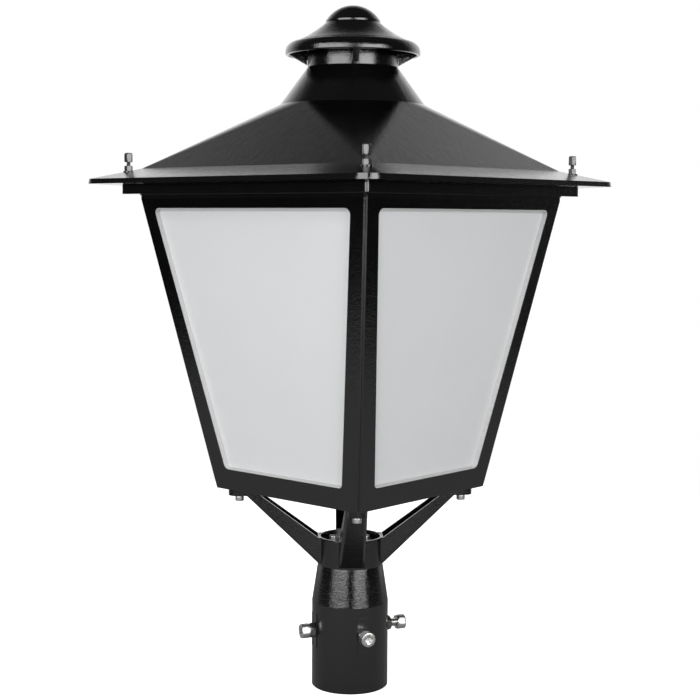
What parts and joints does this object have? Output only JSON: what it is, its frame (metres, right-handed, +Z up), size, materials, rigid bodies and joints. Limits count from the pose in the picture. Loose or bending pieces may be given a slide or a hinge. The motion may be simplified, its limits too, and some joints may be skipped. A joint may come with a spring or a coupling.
{
  "type": "post top lantern",
  "caption": "Square flared post top lantern with opal panels, hipped roof and vent hood, on a four armed yoke and a pole socket.",
  "frame": {"origin": "centre of the pole socket's mouth, at its lower rim", "axes": "+Z up along the pole; the lamp body's faces look along -Y (front), +X, +Y and -X"},
  "size_m": [0.3706, 0.3706, 0.6702],
  "materials": {
    "black_coat": "gloss powder coat with fine orange peel",
    "black_steel": "blackened steel",
    "stainless": "stainless, as machined",
    "opal_panel": "opal, satin gloss",
    "rubber": "matt",
    "pale_silicone": "satin, slightly translucent",
    "bare_sheet": "mill finish sheet",
    "bare_aluminium": "die cast, bare",
    "white_board": "white solder mask",
    "led_package": "phosphor under clear resin",
    "clear_cover": "clear polycarbonate",
    "driver_case": "fine texture",
    "terminal_plastic": "matt",
    "gland_plastic": "matt"
  },
  "bodies": {
    "lantern": {"post_socket": "black_coat", "set_screw_nuts": "black_steel", "yoke": "black_coat", "yoke_screws": "stainless", "foot_washers": "stainless", "foot_bolts": "stainless", "base_plate": "black_coat", "base_screws": "stainless", "cable_gland": "gland_plastic", "gland_nut": "gland_plastic", "gland_sleeve": "rubber", "panel_clips": "stainless", "clip_screws": "stainless", "frame_seal": "rubber", "top_ring": "black_coat", "ring_screws": "stainless", "roof_gasket": "rubber", "side_frame_front": "black_coat", "diffuser_front": "opal_panel", "diffuser_gasket_front": "pale_silicone", "side_frame_right": "black_coat", "diffuser_right": "opal_panel", "diffuser_gasket_right": "pale_silicone", "side_frame_back": "black_coat", "diffuser_back": "opal_panel", "diffuser_gasket_back": "pale_silicone", "side_frame_left": "black_coat", "diffuser_left": "opal_panel", "diffuser_gasket_left": "pale_silicone", "corner_post_1": "black_coat", "corner_post_2": "black_coat", "corner_post_3": "black_coat", "corner_post_4": "black_coat"},
    "roof": {"roof_shell": "black_coat", "stud_nuts": "black_steel", "vent_hood": "black_coat", "finial": "black_coat", "hood_rod": "stainless", "hood_bridge": "bare_sheet", "hood_nut": "stainless", "gear_tray": "bare_sheet", "tray_screws": "stainless", "heat_sink": "bare_aluminium", "sink_screws": "stainless", "led_board": "white_board", "led_chips": "led_package", "lens_cover": "clear_cover", "lens_screws": "stainless", "driver": "driver_case", "gear_screws": "stainless", "terminal_block": "terminal_plastic"},
    "corner_stud_1": {"corner_stud_1": "black_steel"},
    "set_screw_1": {"set_screw_1": "stainless"},
    "corner_stud_2": {"corner_stud_2": "black_steel"},
    "set_screw_2": {"set_screw_2": "stainless"},
    "corner_stud_3": {"corner_stud_3": "black_steel"},
    "set_screw_3": {"set_screw_3": "stainless"},
    "corner_stud_4": {"corner_stud_4": "black_steel"},
    "set_screw_4": {"set_screw_4": "stainless"}
  },
  "joints": [
    {"name": "roof_lift", "type": "slide", "parent": "lantern", "child": "roof", "axis": [0, 0, 1], "range_m": [0, 0.1]},
    {"name": "corner_stud_1_draw", "type": "slide", "parent": "roof", "child": "corner_stud_1", "axis": [0, 0, 1], "range_m": [0, 0.01]},
    {"name": "corner_stud_2_draw", "type": "slide", "parent": "roof", "child": "corner_stud_2", "axis": [0, 0, 1], "range_m": [0, 0.01]},
    {"name": "corner_stud_3_draw", "type": "slide", "parent": "roof", "child": "corner_stud_3", "axis": [0, 0, 1], "range_m": [0, 0.01]},
    {"name": "corner_stud_4_draw", "type": "slide", "parent": "roof", "child": "corner_stud_4", "axis": [0, 0, 1], "range_m": [0, 0.01]},
    {"name": "set_screw_1_travel", "type": "slide", "parent": "lantern", "child": "set_screw_1", "axis": [0.887, -0.4617, 0], "range_m": [0, 0.009]},
    {"name": "set_screw_2_travel", "type": "slide", "parent": "lantern", "child": "set_screw_2", "axis": [0.4617, 0.887, 0], "range_m": [-0.0066, 0.0024]},
    {"name": "set_screw_3_travel", "type": "slide", "parent": "lantern", "child": "set_screw_3", "axis": [-0.887, 0.4617, 0], "range_m": [0, 0.009]},
    {"name": "set_screw_4_travel", "type": "slide", "parent": "lantern", "child": "set_screw_4", "axis": [-0.4617, -0.887, 0], "range_m": [0, 0.009]}
  ]
}
